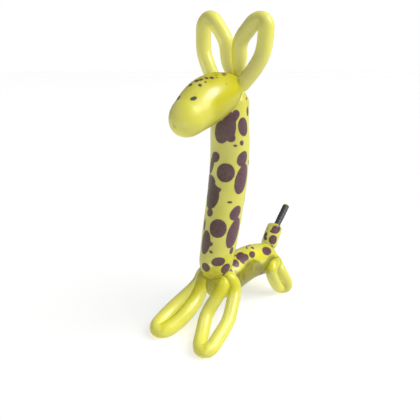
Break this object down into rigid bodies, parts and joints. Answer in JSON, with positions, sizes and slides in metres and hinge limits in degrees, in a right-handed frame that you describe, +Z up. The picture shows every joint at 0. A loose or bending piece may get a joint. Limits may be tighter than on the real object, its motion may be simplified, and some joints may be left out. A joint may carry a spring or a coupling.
{
  "type": "balloon giraffe",
  "caption": "Twisted modelling-balloon giraffe: long printed neck and body, round head, ear loops and looped legs that it stands on.",
  "frame": {"origin": "on the ground, under the middle of the whole figure's bounding box", "axes": "+Z up; -Y the way the giraffe faces; +X its own left side"},
  "size_m": [0.1174, 0.2996, 0.426],
  "materials": {
    "spotted_latex": "glossy translucent yellow latex printed with brown blotches, with the uninflated end inked black",
    "head_latex": "glossy translucent yellow latex with small brown spots on top and drawn eyes",
    "plain_latex": "glossy translucent plain yellow latex"
  },
  "bodies": {
    "root": {"spotted_balloon": "spotted_latex", "head_balloon": "head_latex", "ear_balloon": "plain_latex", "front_leg_balloon": "plain_latex", "hind_leg_balloon": "plain_latex"}
  },
  "joints": []
}
